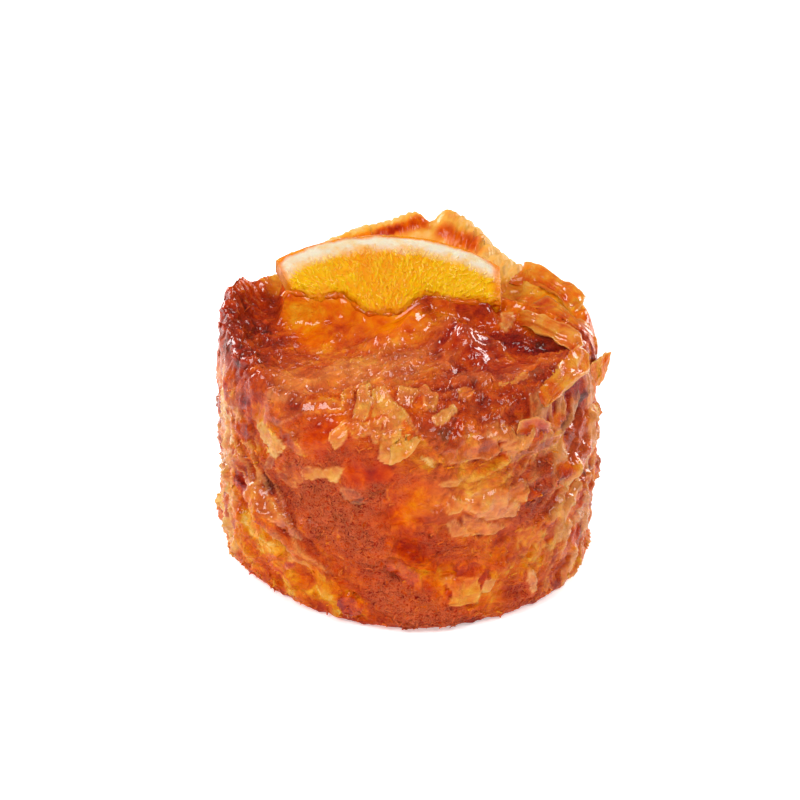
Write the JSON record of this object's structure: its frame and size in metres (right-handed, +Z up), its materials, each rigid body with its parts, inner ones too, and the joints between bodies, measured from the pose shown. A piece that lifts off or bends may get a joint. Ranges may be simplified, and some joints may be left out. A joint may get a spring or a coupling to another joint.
{
  "type": "orange pie",
  "caption": "Individual round pie of crumpled, browned filo soaked in syrup, with a thick piece of candied orange slice pressed into its top.",
  "frame": {"origin": "middle of the flat base that the pie rests on", "axes": "+Z up, -Y towards the front, where the torn edge of the slice looks, +X to the right seen from the front"},
  "size_m": [0.0854, 0.0871, 0.0651],
  "materials": {
    "filo": "browned filo, glossy with syrup",
    "candied_orange": "moist candied flesh, pith and peel"
  },
  "bodies": {
    "root": {"filo_pie": "filo", "orange_slice": "candied_orange"}
  },
  "joints": []
}
